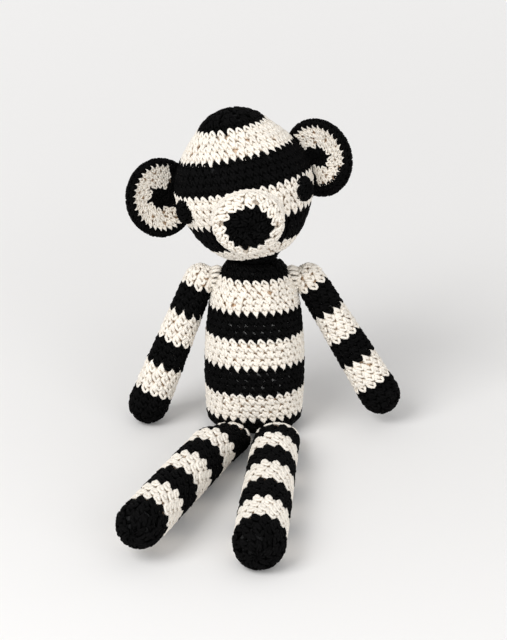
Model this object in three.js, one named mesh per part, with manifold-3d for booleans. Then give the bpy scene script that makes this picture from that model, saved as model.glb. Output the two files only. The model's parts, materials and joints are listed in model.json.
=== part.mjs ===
// A crocheted teddy bear in cream and black stripes, sitting with its legs forward and its head tipped.
// Millimetres, +Z up. The bear faces -Y and sits on the floor z = 0, with the origin on its seat, below
// the middle of its torso. Left and right are the bear's own, so the left pieces lie at +X.
import * as THREE from "three";
import { mergeVertices } from "three/addons/utils/BufferGeometryUtils.js";
import Module from "manifold-3d";

// Yarn and fabric
const FABRIC = 2.6; // thickness of the crochet
const CLEAR = 0.3; // left between pieces that touch
const KNOT_RADIUS = 3.2; // sewing knot inside each limb and the neck
const SEAM_NEAR = 0.5; // from a sewn-on piece to its sewing yarn
const SEAM_WIDE = 1.2; // sewing yarn, along the fabric it is sewn to
const SEAM_TALL = 1.3; // sewing yarn, above that fabric

// Torso, with heights along its own axis from the floor up
const TORSO_LEAN = 10; // degrees back from upright
const TORSO_RADIUS = 29.3;
const TORSO_WIDEST = 36;
const BOTTOM_RADIUS = 28;
const BOTTOM_TOP = 6.5; // where the rounded bottom becomes the side
const BOTTOM_PRESS = 2.5; // how far the floor flattens the bottom
const CHEST_RADIUS = 25;
const CHEST_HEIGHT = 84;
const NECK_RADIUS = 16.4;
const NECK_HEIGHT = 100.3;
const TORSO_STRIPES = [11, 25.1, 43.4, 58.8, 77.5, 92.8];

// Neck, a firm ball that the head rolls on
const NECK_BALL_RADIUS = 17;
const NECK_RISE = 14.7; // from the torso's top edge to the ball's middle

// Head, with heights from its own middle
const CHIN_DROP = 6; // from the middle of the neck ball down to the chin's edge
const HEAD_NOD = 5; // degrees further back than the torso
const HEAD_TILT = 11.5; // degrees towards the bear's right
const CHIN_RADIUS = 18.9;
const CHIN_HEIGHT = -40;
const JAW_RADIUS = 29.8;
const JAW_HEIGHT = -30;
const CHEEK_RADIUS = 37.3;
const CHEEK_HEIGHT = -18;
const HEAD_RADIUS = 41;
const HEAD_WIDEST = -2;
const TEMPLE_RADIUS = 32;
const TEMPLE_HEIGHT = 22;
const CAP_RADIUS = 19.6; // black cap on the crown
const CAP_HEIGHT = 34.2;
const CAP_TALL = 9.8;
const HEAD_STRIPES = [-32.5, -17.5, 0.5, 19.5, CAP_HEIGHT];

// Muzzle, a cup sewn on round a line from the head's axis
const MUZZLE_PITCH = 10; // degrees below straight ahead
const MUZZLE_HEIGHT = -12.4; // of that line on the head's axis
const MUZZLE_RADIUS = 20.6;
const MUZZLE_OUT = 7; // its top, further along the line than the head's radius
const MUZZLE_DOME = 6.7; // height of its rounded top
const NOSE_RADIUS = 13.8;

// Eyes
const EYE_RADIUS = 7.2;
const EYE_TALL = 4.4;
const EYE_SUNK = 3;
const EYE_TURN = 60; // degrees round the head from straight ahead
const EYE_HEIGHT = -8.5;

// Ears, cupped discs
const EAR_RADIUS = 23.4;
const EAR_THICK = 6.5;
const EAR_DISH = 4.5;
const EAR_BACK = 3;
const RIGHT_EAR = { side: -1, off: 11.4, up: 0.2 }; // middle, off the head's side and up its axis
const LEFT_EAR = { side: 1, off: 9, up: 5.2 };
const EAR_TURN = 34; // degrees, outer edge forward
const EAR_CREAM_FROM = 5.5;
const EAR_CREAM_TO = 16.2;
const EAR_BLACK_SECTOR = 38; // degrees to each side of the head

// Arms, from the shoulder pivot to the hand
const ARM_LENGTH = 95.5;
const ARM_RADIUS = 8.8;
const HAND_RADIUS = 11.6;
const SHOULDER_HEIGHT = 90;
const RIGHT_ARM = { side: -1, splay: 22 }; // degrees out from the torso's axis
const LEFT_ARM = { side: 1, splay: 31 };
const ARM_STRIPES = [4.4, 23.5, 40.5, 58, 74.5];

// Legs, from the hip pivot to the foot
const LEG_LENGTH = 144;
const LEG_RADIUS = 12.8;
const FOOT_RADIUS = 14;
const RIGHT_LEG = { side: -1, gap: 2.6, turn: 21.5, lift: 4 }; // gap to the bear's middle, then degrees
const LEFT_LEG = { side: 1, gap: 0.6, turn: -4.8, lift: 0 }; // out from straight ahead and up off the floor
const LEG_PRESS = 0.5; // how far the floor flattens a leg
const HIP_TALL = 17; // a leg's height at the hip, where its end is pressed flat
const HIP_TAPER = 28; // from the hip to where the leg is round
const HIP_NEAR = 0.6; // how much nearer to the torso a pressed hip sits than a round one
const LEG_STRIPES = [-3, 25, 41, 61, 81, 103, 123];

// Facets
const TORSO_SIDES = 24; // a hollow's inside has half as many
const HEAD_SIDES = 28;
const LIMB_SIDES = 16;
const EAR_SIDES = 24;
const SMALL_SIDES = 16;
const KNOT_SIDES = 8;
const ARC_STEPS = 4;

const FLOOR_SIZE = 800;
const SEATING_STEPS = 40;
const CREAM = new THREE.Color(0xf0e6d4);
const BLACK = new THREE.Color(0x0b0b0c);
const WADDING = new THREE.Color(0xf4f3ee);
const UP = new THREE.Vector3(0, 0, 1);
const rad = THREE.MathUtils.degToRad;

const wasm = await Module();
wasm.setup();

// Solids and cuts

function solidOf(geometry) {
  const bare = new THREE.BufferGeometry();
  bare.setAttribute("position", geometry.getAttribute("position"));
  bare.setIndex(geometry.index);
  const merged = mergeVertices(bare, 1e-3);
  const vertProperties = new Float32Array(merged.getAttribute("position").array);
  const triVerts = new Uint32Array(merged.index.array);
  return new wasm.Manifold(new wasm.Mesh({ numProp: 3, vertProperties, triVerts }));
}

function geometryOf(solid) {
  const mesh = solid.getMesh();
  const geometry = new THREE.BufferGeometry();
  geometry.setAttribute("position", new THREE.BufferAttribute(mesh.vertProperties, 3));
  geometry.setIndex(new THREE.BufferAttribute(mesh.triVerts, 1));
  return geometry;
}

function cut(geometry, ...tools) {
  const left = tools.reduce((rest, tool) => rest.subtract(solidOf(tool)), solidOf(geometry));
  return geometryOf(left);
}

function common(geometry, other) {
  return geometryOf(solidOf(geometry).intersect(solidOf(other)));
}

// A solid of revolution about Z, from [radius, height] points that run from its lower end to its upper.
function turned(profile, sides) {
  const points = profile.map(([radius, height]) => new THREE.Vector2(Math.max(radius, 0), height));
  return new THREE.LatheGeometry(points, sides).rotateX(Math.PI / 2);
}

// Points of an ellipse's arc about a height on the axis, between two angles from the axis' lower end.
function arc(middle, wide, tall, from, to, steps = ARC_STEPS) {
  return Array.from({ length: steps + 1 }, (_, step) => {
    const angle = rad(from + ((to - from) * step) / steps);
    return [wide * Math.sin(angle), middle - tall * Math.cos(angle)];
  });
}

function ball(radius, sides) {
  return turned(arc(0, radius, radius, 0, 180, sides / 2), sides);
}

// A hollow whose flats clear a ball of that radius however the ball is turned.
function pocket(radius, sides) {
  return ball((radius + CLEAR) / Math.cos(Math.PI / sides) ** 2, sides);
}

// A round hole of a radius along Z, between two heights.
function hole(radius, from, to) {
  const bore = new THREE.CylinderGeometry(radius, radius, to - from, KNOT_SIDES);
  return bore.rotateX(Math.PI / 2).translate(0, 0, (from + to) / 2);
}

// A smooth radius through [height, radius] points, upright at the widest and the narrowest.
function swelling(points) {
  const last = points.length - 1;
  const slopes = points.map(([height, radius], at) => {
    const [lower, lowerRadius] = points[Math.max(at - 1, 0)];
    const [upper, upperRadius] = points[Math.min(at + 1, last)];
    const turns = (upperRadius - radius) * (radius - lowerRadius) < 0;
    return turns ? 0 : (upperRadius - lowerRadius) / (upper - lower);
  });
  return (height) => {
    const above = points.findIndex((point) => point[0] >= height);
    const to = above < 0 ? last : Math.max(above, 1);
    const [low, lowRadius] = points[to - 1];
    const [high, highRadius] = points[to];
    const share = (height - low) / (high - low);
    const ease = share * share * (3 - 2 * share);
    const bend = share * (1 - share) * ((1 - share) * slopes[to - 1] - share * slopes[to]);
    return lowRadius + (highRadius - lowRadius) * ease + bend * (high - low);
  };
}

// Heights for a profile: its ends, each colour change between them, and the middles in between.
function stations(from, changes, to) {
  const edges = [from, ...changes.filter((height) => height > from && height < to), to];
  return edges.flatMap((height, at) => (at ? [(edges[at - 1] + height) / 2, height] : [height]));
}

// Colours

function striped(changes, first, other) {
  return (point) => (changes.filter((height) => height < point.z).length % 2 ? other : first);
}

// Colours each facet by the yarn at its middle.
function dyed(geometry, yarnAt) {
  const facets = geometry.index ? geometry.toNonIndexed() : geometry;
  const position = facets.getAttribute("position");
  const colours = new Float32Array(position.count * 3);
  const corner = new THREE.Vector3();
  for (let first = 0; first < position.count; first += 3) {
    const middle = new THREE.Vector3();
    for (let at = first; at < first + 3; at += 1) {
      middle.addScaledVector(corner.fromBufferAttribute(position, at), 1 / 3);
    }
    const colour = yarnAt(middle);
    for (let at = first; at < first + 3; at += 1) {
      colour.toArray(colours, at * 3);
    }
  }
  facets.setAttribute("color", new THREE.BufferAttribute(colours, 3));
  return facets;
}

// Adds one named piece, in one colour or, where the colour is a function of the place, in several.
function addPiece(group, name, geometry, colour) {
  const yarnAt = typeof colour === "function" ? colour : () => colour;
  const material = new THREE.MeshStandardMaterial({ vertexColors: true, roughness: 0.95, metalness: 0 });
  const mesh = new THREE.Mesh(dyed(geometry, yarnAt), material);
  mesh.geometry.computeVertexNormals();
  mesh.name = name;
  group.add(mesh);
}

// Frames

const bear = new THREE.Group();

function addFrame(parent, position, turn) {
  const frame = new THREE.Group();
  frame.position.copy(position);
  frame.quaternion.copy(turn);
  parent.add(frame);
  frame.updateWorldMatrix(true, false);
  return frame;
}

function euler(x, y, order) {
  return new THREE.Quaternion().setFromEuler(new THREE.Euler(rad(x), rad(y), 0, order));
}

const neckPivot = NECK_HEIGHT + NECK_RISE;
const headAbovePivot = -CHIN_HEIGHT - CHIN_DROP;
const torso = addFrame(bear, new THREE.Vector3(), euler(-TORSO_LEAN, 0, "XYZ"));
const neck = addFrame(torso, new THREE.Vector3(0, 0, neckPivot), euler(-HEAD_NOD, -HEAD_TILT, "YXZ"));
const head = addFrame(neck, new THREE.Vector3(0, 0, headAbovePivot), new THREE.Quaternion());

// Everything lower than a height above the floor, in a frame's own coordinates.
function ground(frame, height) {
  const slab = new THREE.BoxGeometry(FLOOR_SIZE, FLOOR_SIZE, FLOOR_SIZE);
  slab.translate(0, 0, height - FLOOR_SIZE / 2);
  return slab.applyMatrix4(frame.matrixWorld.clone().invert());
}

// Torso: a stuffed bag with a rounded bottom, a slight belly and a gathered neck

const torsoRadius = swelling([
  [BOTTOM_TOP, BOTTOM_RADIUS],
  [TORSO_WIDEST, TORSO_RADIUS],
  [CHEST_HEIGHT, CHEST_RADIUS],
  [NECK_HEIGHT, NECK_RADIUS],
]);

function torsoOutline(grown, changes = TORSO_STRIPES) {
  const heights = stations(BOTTOM_TOP, changes, NECK_HEIGHT).slice(1);
  const depth = BOTTOM_TOP + BOTTOM_PRESS;
  const bottom = arc(BOTTOM_TOP, BOTTOM_RADIUS + grown, depth + grown, 0, 90);
  return [...bottom, ...heights.map((height) => [torsoRadius(height) + grown, height])];
}

function torsoBulk(grown) {
  const top = NECK_HEIGHT + Math.max(grown, 0);
  return turned([...torsoOutline(grown), [0, top]], TORSO_SIDES);
}

function torsoCore(inset) {
  const roof = NECK_HEIGHT - inset;
  const side = torsoOutline(-inset, [TORSO_WIDEST, CHEST_HEIGHT]).filter(([, height]) => height < roof);
  const core = turned([...side, [torsoRadius(roof) - inset, roof], [0, roof]], TORSO_SIDES / 2);
  return cut(core, ground(torso, inset));
}

const neckPocket = (height) => pocket(NECK_BALL_RADIUS, SMALL_SIDES).translate(0, 0, height);
const neckCuts = [neckPocket(neckPivot), hole(KNOT_RADIUS, CHEST_HEIGHT, neckPivot)];
const torsoSkin = cut(torsoBulk(0), ground(torso, 0), torsoCore(FABRIC), ...neckCuts);
addPiece(torso, "torso_shell", torsoSkin, striped(TORSO_STRIPES, BLACK, CREAM));
const torsoFill = cut(torsoCore(FABRIC + CLEAR), neckPocket(neckPivot));
addPiece(torso, "torso_stuffing", torsoFill, WADDING);

// Neck: a ball with a bore for the knot that ties the head down

const knotPocket = pocket(KNOT_RADIUS, KNOT_SIDES);
const neckBore = hole(KNOT_RADIUS + CLEAR, 0, 2 * NECK_BALL_RADIUS);
addPiece(neck, "neck_ball", cut(ball(NECK_BALL_RADIUS, SMALL_SIDES), neckBore, knotPocket), BLACK);
addPiece(neck, "neck_knot", ball(KNOT_RADIUS, KNOT_SIDES), BLACK);

// Head: a stuffed egg, open below where it sits on the neck

const headRadius = swelling([
  [CHIN_HEIGHT, CHIN_RADIUS],
  [JAW_HEIGHT, JAW_RADIUS],
  [CHEEK_HEIGHT, CHEEK_RADIUS],
  [HEAD_WIDEST, HEAD_RADIUS],
  [TEMPLE_HEIGHT, TEMPLE_RADIUS],
  [CAP_HEIGHT, CAP_RADIUS],
]);
const capArc = (CAP_RADIUS ** 2 + CAP_TALL ** 2) / (2 * CAP_TALL);
const capAngle = 180 - THREE.MathUtils.radToDeg(Math.asin(CAP_RADIUS / capArc));

function headBulk(grown, changes, foot, sides) {
  const heights = stations(CHIN_HEIGHT, changes, CAP_HEIGHT).slice(0, -1);
  const side = heights.map((height) => [headRadius(height) + grown, height]);
  const crown = arc(CAP_HEIGHT + CAP_TALL - capArc, capArc + grown, capArc + grown, capAngle, 180);
  const chin = foot < CHIN_HEIGHT ? [side[0][0], foot] : [];
  const outline = [[0, foot], chin, ...side, ...crown];
  return turned(outline.filter((point) => point.length), sides);
}

const headShape = [JAW_HEIGHT, CHEEK_HEIGHT, HEAD_WIDEST, TEMPLE_HEIGHT];
const headOuter = (grown) => headBulk(grown, HEAD_STRIPES, CHIN_HEIGHT - grown, HEAD_SIDES);
const headInner = headBulk(-FABRIC, headShape, CHIN_HEIGHT - FABRIC, HEAD_SIDES / 2);
const headSkin = cut(headOuter(0), headInner, neckPocket(-headAbovePivot));
addPiece(head, "head_shell", headSkin, striped(HEAD_STRIPES, CREAM, BLACK));
const headCore = headBulk(-FABRIC - CLEAR, headShape, CHIN_HEIGHT, HEAD_SIDES / 2);
addPiece(head, "head_stuffing", cut(headCore, neckPocket(-headAbovePivot)), WADDING);

// The sewing yarn round a piece on a rounder one: a ring between two skins of each
function seamRing(base, piece) {
  const onBase = cut(base(CLEAR + SEAM_TALL), base(CLEAR));
  const roundPiece = cut(piece(SEAM_NEAR + SEAM_WIDE), piece(SEAM_NEAR));
  return common(onBase, roundPiece);
}

// Muzzle and nose: a domed cup of crochet, worked from a black middle

const muzzleRoot = CHIN_RADIUS - FABRIC;
const muzzleSide = HEAD_RADIUS + MUZZLE_OUT - MUZZLE_DOME;

function muzzleBulk(grown) {
  const dome = arc(muzzleSide, MUZZLE_RADIUS + grown, MUZZLE_DOME + grown, 90, 180);
  const profile = [[0, muzzleRoot], [MUZZLE_RADIUS + grown, muzzleRoot], ...dome];
  const cup = turned(profile, SMALL_SIDES).rotateX(Math.PI / 2 + rad(MUZZLE_PITCH));
  return cup.translate(0, 0, MUZZLE_HEIGHT);
}

const muzzleAxis = new THREE.Vector3(0, -Math.cos(rad(MUZZLE_PITCH)), -Math.sin(rad(MUZZLE_PITCH)));
const muzzleFoot = new THREE.Vector3(0, 0, MUZZLE_HEIGHT);

function muzzleYarn(point) {
  const fromAxis = point.clone().sub(muzzleFoot).cross(muzzleAxis).length();
  return fromAxis < NOSE_RADIUS ? BLACK : CREAM;
}

addPiece(head, "muzzle_shell", cut(muzzleBulk(0), muzzleBulk(-FABRIC), headOuter(CLEAR)), muzzleYarn);
addPiece(head, "muzzle_stuffing", cut(muzzleBulk(-FABRIC - CLEAR), headOuter(CLEAR)), WADDING);
addPiece(head, "muzzle_seam", seamRing(headOuter, muzzleBulk), CREAM);

// Eyes and ears, one of each to a side

function eyeBulk(side) {
  const profile = [[0, -EYE_SUNK], [EYE_RADIUS, -EYE_SUNK], ...arc(0, EYE_RADIUS, EYE_TALL, 90, 180)];
  const eye = turned(profile, SMALL_SIDES).rotateX(Math.PI / 2);
  eye.translate(0, -headRadius(EYE_HEIGHT), EYE_HEIGHT);
  return eye.rotateZ(side * rad(EYE_TURN));
}

const earMiddle = ({ side, off, up }) => new THREE.Vector3(side * (headRadius(up) + off), EAR_BACK, up);

function earBulk(ear) {
  return (grown) => {
    const half = EAR_THICK / 2 + grown;
    const flat = EAR_RADIUS + grown - half;
    const dish = (radius) => EAR_DISH * (radius / flat) ** 2;
    const back = [0, flat / 2].map((radius) => [radius, dish(radius) - half]);
    const front = [flat / 2, 0].map((radius) => [radius, dish(radius) + half]);
    const rim = arc(EAR_DISH, half, half, 0, 180).map(([out, height]) => [flat + out, height]);
    const disc = turned([...back, ...rim, ...front], EAR_SIDES).rotateX(Math.PI / 2);
    return disc.rotateZ(-ear.side * rad(EAR_TURN)).translate(...earMiddle(ear));
  };
}

function earYarn(ear) {
  return (point) => {
    const flat = point.clone().sub(earMiddle(ear));
    flat.applyAxisAngle(UP, ear.side * rad(EAR_TURN));
    const radius = Math.hypot(flat.x, flat.z);
    const inward = THREE.MathUtils.radToDeg(Math.atan2(Math.abs(flat.z), -ear.side * flat.x));
    const ring = radius > EAR_CREAM_FROM && radius < EAR_CREAM_TO && inward > EAR_BLACK_SECTOR;
    return ring && flat.y < 0 ? CREAM : BLACK;
  };
}

for (const [name, ear] of [["right", RIGHT_EAR], ["left", LEFT_EAR]]) {
  addPiece(head, name + "_eye", cut(eyeBulk(ear.side), headOuter(CLEAR)), BLACK);
  addPiece(head, name + "_ear", cut(earBulk(ear)(0), headOuter(CLEAR)), earYarn(ear));
  addPiece(head, name + "_ear_seam", seamRing(headOuter, earBulk(ear)), BLACK);
}

// Limbs: stuffed tubes with a round end, each tied to the torso by a knot in the ball at its pivot

function torsoGap(point) {
  const spot = new THREE.Vector3(Math.hypot(point.x, point.y), point.z, 0);
  const outline = torsoOutline(0).map(([radius, height]) => new THREE.Vector3(radius, height, 0));
  const gaps = outline.slice(1).map((end, at) => {
    const nearest = new THREE.Vector3();
    new THREE.Line3(outline[at], end).closestPointToPoint(spot, true, nearest);
    return nearest.distanceTo(spot);
  });
  return Math.min(...gaps);
}

// How far out a ball has to sit to clear the torso, where placed(out) is its middle in the torso's frame.
function seated(radius, placed) {
  let near = TORSO_RADIUS;
  let far = near + 2 * radius;
  for (let step = 0; step < SEATING_STEPS; step += 1) {
    const middle = (near + far) / 2;
    if (torsoGap(placed(middle)) < radius + CLEAR) {
      near = middle;
    } else {
      far = middle;
    }
  }
  return far;
}

function limbBulk(limb, inset, changes, sides) {
  const end = limb.length - limb.endRadius;
  const taper = (height) => limb.radius + ((limb.endRadius - limb.radius) * height) / end;
  const heights = [...changes, ...limb.bends].sort((one, other) => one - other);
  const side = heights.filter((height) => height > 0 && height < end);
  return turned(
    [
      ...arc(0, limb.radius - inset, limb.radius - inset, 0, 90),
      ...side.map((height) => [taper(height) - inset, height]),
      ...arc(end, limb.endRadius - inset, limb.endRadius - inset, 90, 180),
    ],
    sides,
  );
}

// A way in from the torso for the sewing yarn, along a direction in the limb's own frame.
function yarnWay(limb, towards) {
  const way = hole(KNOT_RADIUS, 0, 2 * limb.radius);
  way.applyQuaternion(new THREE.Quaternion().setFromUnitVectors(UP, towards));
  return way;
}

function addLimb(parent, name, limb) {
  const frame = addFrame(parent, limb.pivot, new THREE.Quaternion().setFromUnitVectors(UP, limb.along));
  const inFrame = (direction) => direction.clone().applyQuaternion(frame.quaternion.clone().invert());
  const way = yarnWay(limb, inFrame(limb.towards));
  const over = inFrame(UP).projectOnPlane(UP).normalize();
  const skin = limb.shaped(limbBulk(limb, 0, limb.stripes, LIMB_SIDES), over);
  const inside = limb.shaped(limbBulk(limb, FABRIC, [], LIMB_SIDES / 2), over);
  const fill = limb.shaped(limbBulk(limb, FABRIC + CLEAR, [], LIMB_SIDES / 2), over);
  const shell = cut(skin, inside, way, ground(frame, 0));
  addPiece(frame, name + "_shell", shell, striped(limb.stripes, CREAM, BLACK));
  addPiece(frame, name + "_stuffing", cut(fill, knotPocket, way), WADDING);
  addPiece(frame, name + "_knot", ball(KNOT_RADIUS, KNOT_SIDES), CREAM);
}

const shoulderOut = seated(ARM_RADIUS, (out) => new THREE.Vector3(out, 0, SHOULDER_HEIGHT));

function addArm(name, { side, splay }) {
  addLimb(torso, name, {
    length: ARM_LENGTH,
    radius: ARM_RADIUS,
    endRadius: HAND_RADIUS,
    stripes: ARM_STRIPES,
    bends: [],
    shaped: (bulk) => bulk,
    pivot: new THREE.Vector3(side * shoulderOut, 0, SHOULDER_HEIGHT),
    along: new THREE.Vector3(side * Math.sin(rad(splay)), 0, -Math.cos(rad(splay))),
    towards: new THREE.Vector3(-side, 0, 0),
  });
}

// Presses a leg flat at its hip, down on its underside, with the middle of the flat end at the pivot.
function pressedHip(bulk, over) {
  const position = bulk.getAttribute("position");
  const point = new THREE.Vector3();
  for (let at = 0; at < position.count; at += 1) {
    point.fromBufferAttribute(position, at);
    const share = THREE.MathUtils.smoothstep(point.z, 0, HIP_TAPER);
    const keep = THREE.MathUtils.lerp(HIP_TALL / (2 * LEG_RADIUS), 1, share);
    const level = point.dot(over);
    point.addScaledVector(over, (level + LEG_RADIUS) * keep - HIP_TALL / 2 - level);
    position.setXYZ(at, ...point.toArray());
  }
  return bulk;
}

const hipUp = HIP_TALL / 2 - LEG_PRESS;
const legRise = Math.asin((FOOT_RADIUS - LEG_RADIUS) / (LEG_LENGTH - FOOT_RADIUS));

function addLeg(name, { side, gap, turn, lift }) {
  const hipOut = LEG_RADIUS + gap;
  const seat = (out) => torso.worldToLocal(new THREE.Vector3(hipOut, -out, hipUp));
  const hipForward = seated(LEG_RADIUS - HIP_NEAR, seat);
  const level = new THREE.Vector3(side * Math.sin(rad(turn)), -Math.cos(rad(turn)), 0);
  const rise = legRise + rad(lift);
  addLimb(bear, name, {
    length: LEG_LENGTH,
    radius: LEG_RADIUS,
    endRadius: FOOT_RADIUS,
    stripes: LEG_STRIPES,
    bends: [HIP_TAPER / 2, HIP_TAPER],
    shaped: pressedHip,
    pivot: new THREE.Vector3(side * hipOut, -hipForward, hipUp),
    along: level.multiplyScalar(Math.cos(rise)).addScaledVector(UP, Math.sin(rise)),
    towards: new THREE.Vector3(0, 1, 0),
  });
}

addArm("right_arm", RIGHT_ARM);
addArm("left_arm", LEFT_ARM);
addLeg("right_leg", RIGHT_LEG);
addLeg("left_leg", LEFT_LEG);

export default bear;
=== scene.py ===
"""A crocheted teddy bear in cream and black stripes, stitched round by round over its frame.

Metres, +Z up. The bear faces -Y and sits on the floor z = 0. Right and left are the bear's own.
"""

import json
import math
import random

import bmesh
import bpy
import numpy as np
from mathutils import Matrix, Vector, noise
from mathutils.bvhtree import BVHTree


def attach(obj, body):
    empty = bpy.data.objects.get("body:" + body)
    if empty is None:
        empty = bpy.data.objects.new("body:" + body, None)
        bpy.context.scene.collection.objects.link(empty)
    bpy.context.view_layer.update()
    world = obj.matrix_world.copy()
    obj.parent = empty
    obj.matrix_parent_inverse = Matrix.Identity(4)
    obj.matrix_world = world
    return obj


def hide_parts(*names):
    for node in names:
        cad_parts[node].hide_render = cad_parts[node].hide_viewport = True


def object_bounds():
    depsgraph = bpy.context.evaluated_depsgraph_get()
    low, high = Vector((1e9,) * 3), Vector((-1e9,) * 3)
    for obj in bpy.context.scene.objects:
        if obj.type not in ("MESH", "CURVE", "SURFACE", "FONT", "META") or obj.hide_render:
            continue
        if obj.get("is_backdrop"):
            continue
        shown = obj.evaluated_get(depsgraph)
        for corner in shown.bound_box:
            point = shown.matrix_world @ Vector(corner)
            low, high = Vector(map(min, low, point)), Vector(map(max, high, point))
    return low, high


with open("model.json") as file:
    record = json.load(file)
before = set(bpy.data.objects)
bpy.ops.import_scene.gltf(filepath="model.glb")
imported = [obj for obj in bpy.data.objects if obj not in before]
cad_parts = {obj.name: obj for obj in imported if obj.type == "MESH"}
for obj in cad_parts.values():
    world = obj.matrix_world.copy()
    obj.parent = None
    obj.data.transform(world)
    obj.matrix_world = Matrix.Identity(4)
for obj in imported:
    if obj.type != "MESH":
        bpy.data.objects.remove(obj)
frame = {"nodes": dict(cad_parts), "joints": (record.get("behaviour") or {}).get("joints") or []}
cad_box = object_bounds()

MM = 0.001

# Yarn and stitches
STITCH = 5.4 * MM  # width of one stitch along its round, as it is drawn below
ROUND = 4.23 * MM  # height of one round, likewise
LEG_YARN = 1.05 * MM  # radius of the yarn in a stitch's two legs
LOOP_YARN = 0.82 * MM  # radius of the yarn in the loop on top of a stitch
YARN_ROUNDNESS = 1  # a curve's bevel resolution, which gives a strand six sides
SINK = 1.2 * MM  # the stitches' own surface lies this far inside the frame's
BACKING = -1.0 * MM  # the plain layer behind the stitches, off that surface
FEWEST_STITCHES = 6
STEADY = 0.09  # of a round's stitches, by which the next may be out before their number changes
DRIFT = 0.25  # of a stitch, by which each round slips round the last
HOLD = 0.15  # of a stitch, the furthest that a stitch is drawn to the one it is worked into
STRAY = 0.04  # of a stitch, by which a stitch strays from its place
PLUMP = (0.92, 1.08)  # least and most thickness of a stitch, as a share of the plain one
MERGE = 0.01 * MM  # points of a mesh that are nearer than this are one

# (width of a stitch, height of a round, length of a stitch's foot) for each kind of piece
BODY_GAUGE = (5.5 * MM, 4.23 * MM, 2.4 * MM)
LEG_GAUGE = (5.9 * MM, 5.3 * MM, 2.8 * MM)
HEAD_GAUGE = (4.9 * MM, 5.2 * MM, 1.5 * MM)
MUZZLE_GAUGE = (6.2 * MM, 4.1 * MM, 1.7 * MM)
EAR_GAUGE = (4 * MM, 3.1 * MM, 1.8 * MM)
EYE_GAUGE = (4.2 * MM, 3.2 * MM, 1.8 * MM)

# Stripes: where the yarn changes, in millimetres along each piece's axis from its frame's origin
TORSO_STRIPES = (10, 25.7, 42, 59.1, 74.8, 92.7)
HEAD_STRIPES = (-31.9, -18.2, 1.1, 18.8, 34)
ARM_STRIPES = (5, 22.8, 41.1, 57.3, 75.1)
LEG_STRIPES = (-2.4, 24.3, 41.6, 60.3, 81.6, 102.3, 123.6)

# Torso and neck
NECK_LIP = 7.5 * MM  # radius of the hole in the torso's top
NECK_BALL_RADIUS = 17 * MM
NECK_SINK = 1.4 * MM
KNOT_RADIUS = 3.2 * MM

# Legs, whose ends are pressed flat at the hip
LEG_LENGTH = 144 * MM
LEG_RADIUS = 12.8 * MM
FOOT_RADIUS = {"right": 12.7 * MM, "left": 14 * MM}
HIP_TALL = 17 * MM
HIP_TAPER = 28 * MM
LEG_TURN = {"right": -20.9, "left": -4.8}  # degrees towards the bear's left from straight ahead
LEG_LIFT = {"right": 3.6, "left": 0.0}  # degrees up off the floor

# Head
HEAD_ABOVE_PIVOT = 34 * MM
HEAD_ROUNDS_TIP = math.radians(3.2)  # forward, of the head's rounds from its own axis
CHIN_LIP = 16.2 * MM  # radius of the hole in the head's underside
CHIN_DROP = 2.5 * MM  # by which the head is fuller below, in front
CHIN_FROM = -17 * MM  # height at which the drop begins
CHIN_SPAN = 15 * MM  # from there down to the full drop
CHIN_BACK = 10 * MM  # place behind the head's axis at which the drop begins
CHIN_DEPTH = 18 * MM  # from there forward to the full drop

# Muzzle, a cup round a line from the head's axis
MUZZLE_PITCH = math.radians(20)
MUZZLE_HEIGHT = -5.2 * MM
MUZZLE_RADIUS = 20 * MM
MUZZLE_TIP = 49.5 * MM
MUZZLE_DOME = 6.7 * MM
MUZZLE_DEEP = 24 * MM
MUZZLE_PRESS = 0.13  # of its height, lost at its rim
MUZZLE_RIM = 13 * MM  # from its tip to its rim
NOSE_RADIUS = 12.6 * MM

# Eyes
EYE_RADIUS = 7.2 * MM
EYE_TALL = 4.4 * MM
EYE_SUNK = 3 * MM
EYE_TURN = {"right": math.radians(63), "left": math.radians(60)}
EYE_HEIGHT = -8.5 * MM
EYE_SINK = 1.0 * MM

# Ears, cupped discs with a cream ring that is open towards the head
EAR_RADIUS = 23.4 * MM
EAR_THICK = 6.5 * MM
EAR_FLAT = EAR_RADIUS - EAR_THICK / 2
EAR_DISH = 4.5 * MM
EAR_BACK = 3 * MM
EAR_TURN = math.radians(34)
EAR_OFF = {"right": 11.4 * MM, "left": 9 * MM}  # from the head's side to an ear's middle
EAR_UP = {"right": 0.2 * MM, "left": 5.2 * MM}
EAR_CREAM_FROM = 6 * MM
EAR_CREAM_TO = 19 * MM
# How far towards the head the ring is cream, above and below the ear's middle
EAR_BLACK_FROM = {"right": (9.5 * MM, 10 * MM), "left": (12 * MM, 4.6 * MM)}
EAR_WIDE_RIM = {"right": 19 * MM, "left": 16 * MM}  # inner radius of the black rim, lower down
EAR_WIDE_RIM_BELOW = -5 * MM

# Sewing yarn
SEWING_YARN = 0.9 * MM
SEWING_REACH = 1.7 * MM
SEWING_SLANT = 0.9 * MM
SEWING_STEP = 0.01  # of a turn, to find the way along a seam
MUZZLE_SEWING = 36
MUZZLE_EDGE = 1.1 * MM
EAR_SEWING = 90
SHOULDER_STITCHES = 13
SHOULDER_YARN = 1.15 * MM
SHOULDER_RING = 5.5 * MM
SHOULDER_DEEP = 6 * MM
SHOULDER_BOW = 1.6 * MM
KNOT_STEPS = 40
KNOT_YARN = 0.75 * MM
KNOT_GAP = 0.35  # of the knot's way round, left open at its two ends
KNOT_REACH = 3  # how far the knot's curve goes from its middle, before it is sized

# Layer behind the stitches
BACKING_TURN_STEPS = 48
BACKING_RUN_STEPS = 120
BACKING_MERGE = 0.02 * MM
CREAM_SHADE_FROM = 1.2 * MM  # painted hole shade behind cream begins past the foot of a cream stripe's first round
CREAM_SHADE_TO = 2.2 * MM  # and ends short of the top of its last round
STRETCHED_FROM = 0.25  # of a bag's run, past which its filling shows
STRETCHED_TO = 0.7

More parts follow.
